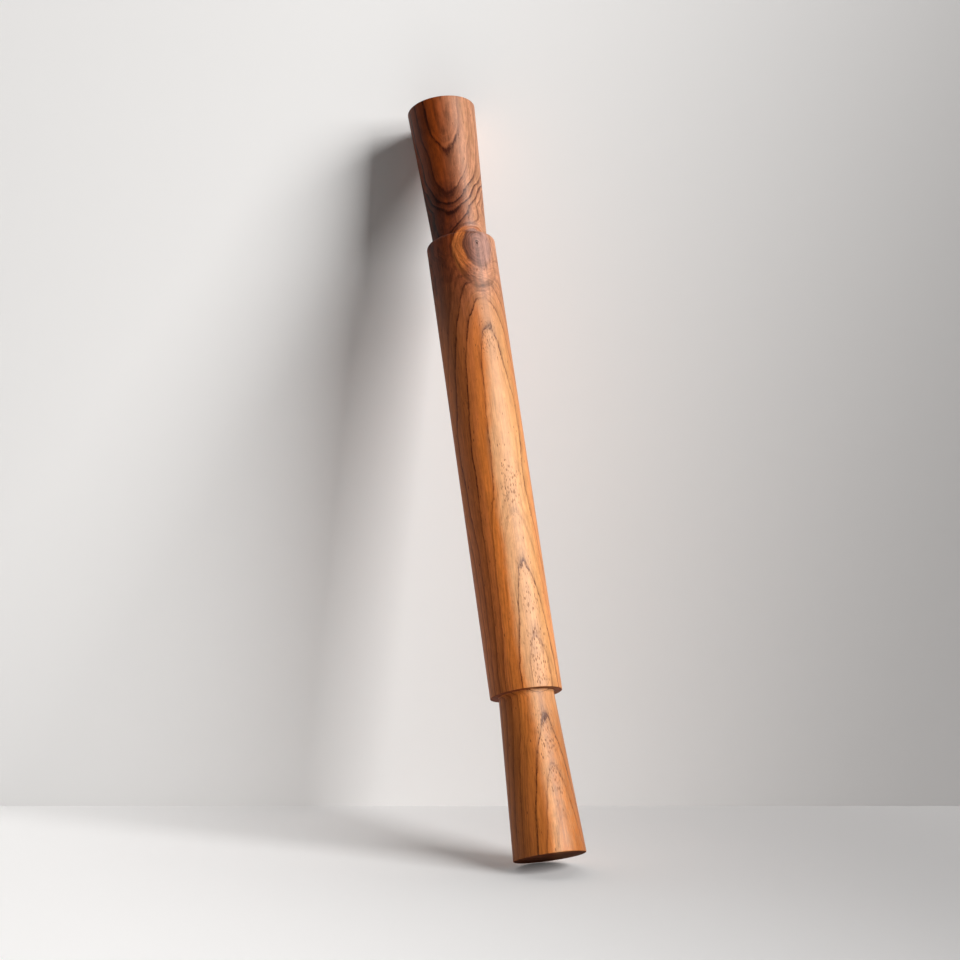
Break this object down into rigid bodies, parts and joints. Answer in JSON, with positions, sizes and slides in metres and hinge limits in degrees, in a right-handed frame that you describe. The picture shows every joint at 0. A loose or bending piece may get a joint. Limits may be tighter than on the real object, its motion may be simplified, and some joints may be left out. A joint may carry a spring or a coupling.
{
  "type": "rolling pin",
  "caption": "French rolling pin turned from one billet: straight round barrel, flared conical handles stepped in at the shoulders, and a grown-in knot.",
  "frame": {"origin": "centre of the lower handle's flat end face, on which the pin stands", "axes": "+Z along the pin's axis from the lower end to the upper, -Y towards the side with the knot"},
  "size_m": [0.0451, 0.045, 0.5],
  "materials": {
    "oiled_teak": "oiled satin, brown-black latewood lines in flat-sawn arches",
    "knot_wood": "oiled satin, purplish brown branch wood with tight rings"
  },
  "bodies": {
    "root": {"pin_body": "oiled_teak", "knot": "knot_wood"}
  },
  "joints": []
}
